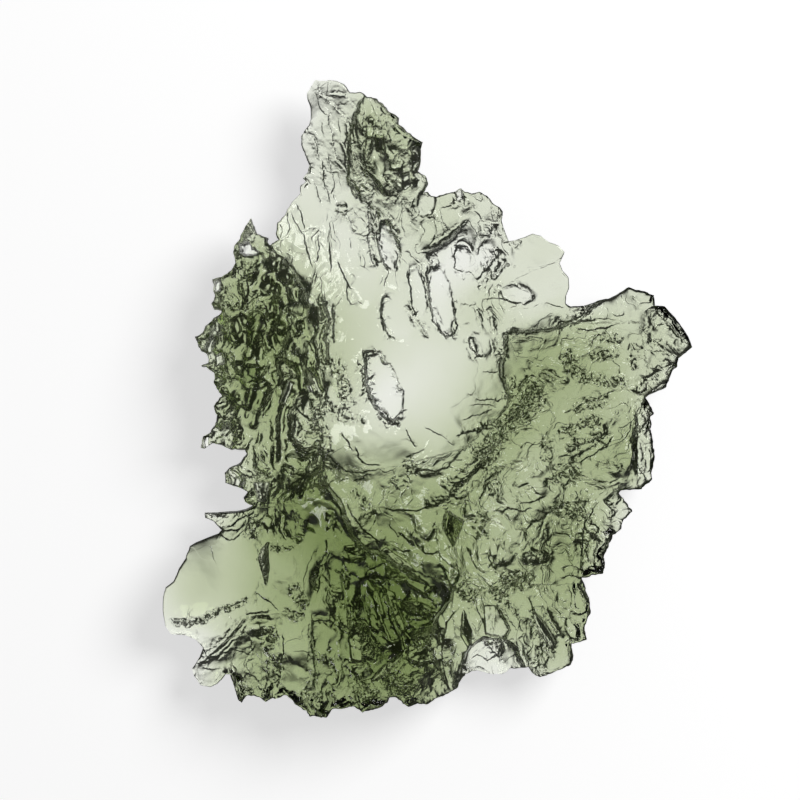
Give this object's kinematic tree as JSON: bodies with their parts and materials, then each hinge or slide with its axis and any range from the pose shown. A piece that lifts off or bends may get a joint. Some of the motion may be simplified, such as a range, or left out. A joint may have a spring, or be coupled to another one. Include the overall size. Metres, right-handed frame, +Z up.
{
  "type": "moldavite",
  "caption": "Ragged, deeply etched splash of clear green natural glass that lies on its back, for display or handling as a specimen.",
  "frame": {"origin": "under the middle of the bounding box, on the surface that the stone lies on", "axes": "+Y along the stone towards the tip of its spire, +X to its right seen from above, +Z up out of its etched upper face"},
  "size_m": [0.0334, 0.04, 0.0093],
  "materials": {
    "green_glass": "clear moss-green natural glass, glossy, etched all over into pits and sharp ridges"
  },
  "bodies": {
    "root": {"moldavite": "green_glass"}
  },
  "joints": []
}
